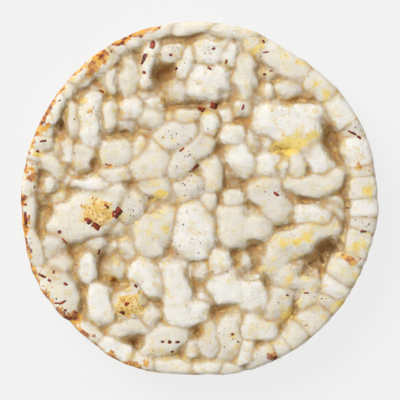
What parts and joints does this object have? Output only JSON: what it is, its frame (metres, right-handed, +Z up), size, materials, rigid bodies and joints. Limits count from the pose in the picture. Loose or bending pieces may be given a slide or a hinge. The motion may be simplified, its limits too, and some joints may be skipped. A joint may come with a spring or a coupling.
{
  "type": "puffed rice cake",
  "caption": "Round, thick disc of puffed whole-grain rice fused together, with a flattened rim band, open hollows and flecks of bran.",
  "frame": {"origin": "centre of the lower flat side, on the plane the cake lies on", "axes": "+Z up through the cake's thickness, from the lower pressed side to the upper one; +X and +Y across the disc"},
  "size_m": [0.0959, 0.0947, 0.015],
  "materials": {
    "puffed_grain": "dry matte puffed rice, cream-white on the pressed tops, tan to golden brown in the seams and hollows"
  },
  "bodies": {
    "root": {"rice_cake": "puffed_grain"}
  },
  "joints": []
}
